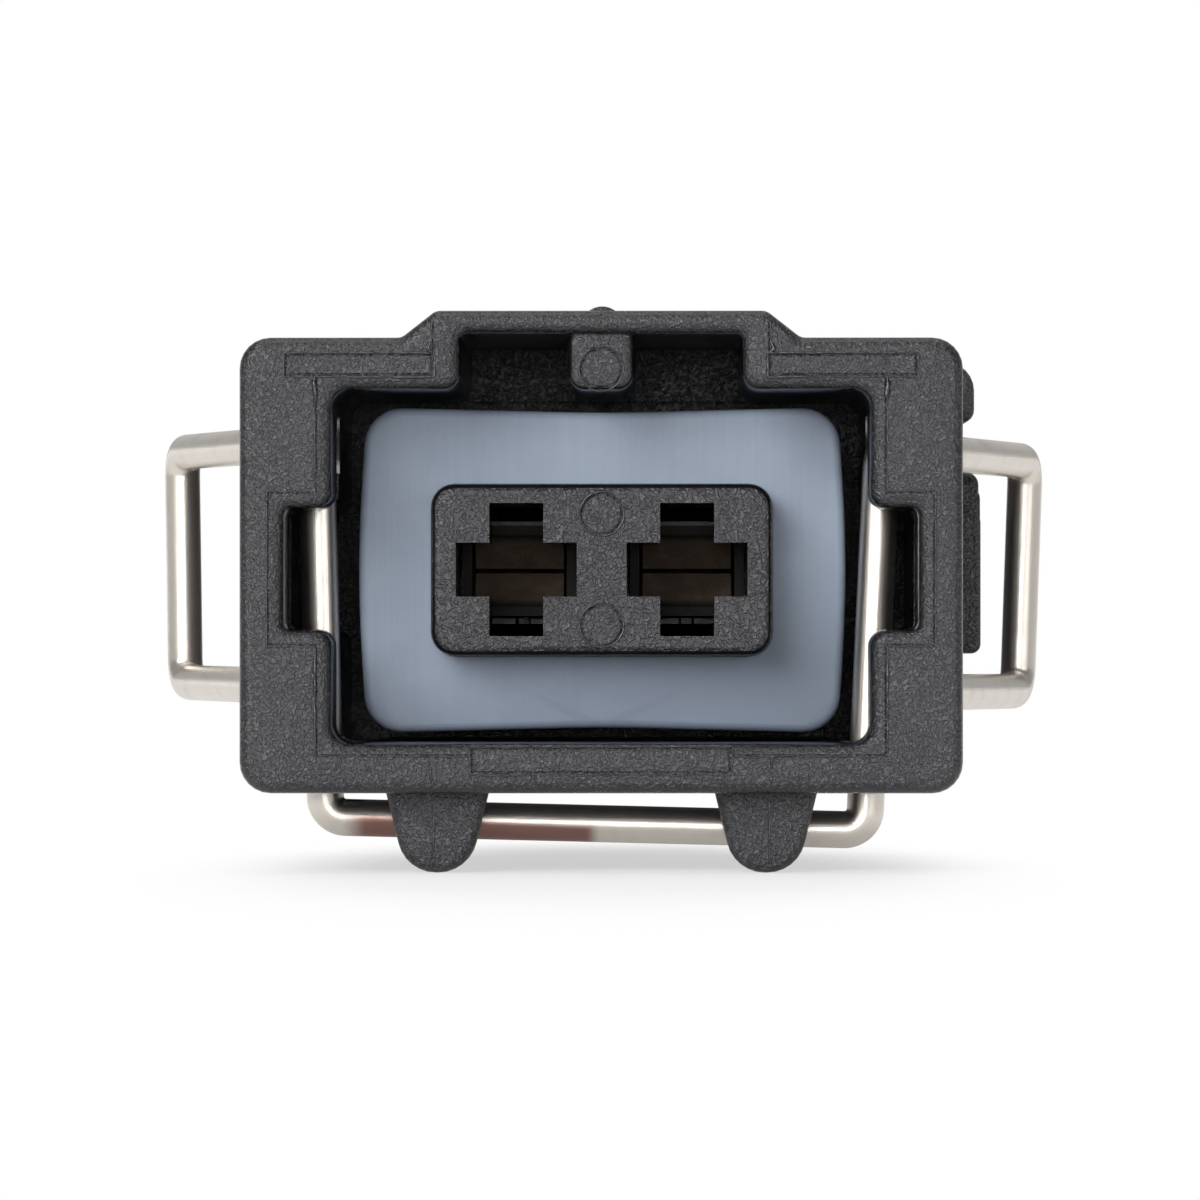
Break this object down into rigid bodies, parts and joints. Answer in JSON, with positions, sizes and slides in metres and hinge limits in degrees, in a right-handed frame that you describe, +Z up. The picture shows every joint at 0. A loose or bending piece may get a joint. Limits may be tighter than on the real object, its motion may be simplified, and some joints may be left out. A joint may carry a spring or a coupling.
{
  "type": "pigtail connector",
  "caption": "Rectangular female connector end with a keyed hood, a sealed tower for flat blade contacts, a bent-wire locking clip, a side-pushed contact lock and a rubber wire grommet.",
  "frame": {"origin": "in the plane of the mating face, midway between the contacts", "axes": "+X across the contacts to the right seen from the mating side, +Y from the mating face back to the wires, +Z up"},
  "size_m": [0.0276, 0.0345, 0.0166],
  "materials": {
    "housing_plastic": "fine moulded grain",
    "seal_rubber": "matt",
    "clip_wire": "bright drawn wire",
    "lock_plastic": "fine moulded grain",
    "contact_metal": "tarnished",
    "sleeve_steel": "satin",
    "grommet_rubber": "matt"
  },
  "bodies": {
    "connector": {"housing": "housing_plastic", "face_seal": "seal_rubber", "spring_clip": "clip_wire", "contact_left": "contact_metal", "contact_right": "contact_metal", "contact_sleeve_left": "sleeve_steel", "contact_sleeve_right": "sleeve_steel", "wire_grommet": "grommet_rubber"},
    "lock": {"contact_lock": "lock_plastic"}
  },
  "joints": [
    {"name": "lock_slide", "type": "slide", "parent": "connector", "child": "lock", "axis": [1, 0, 0], "range_m": [0, 0.0011]}
  ]
}
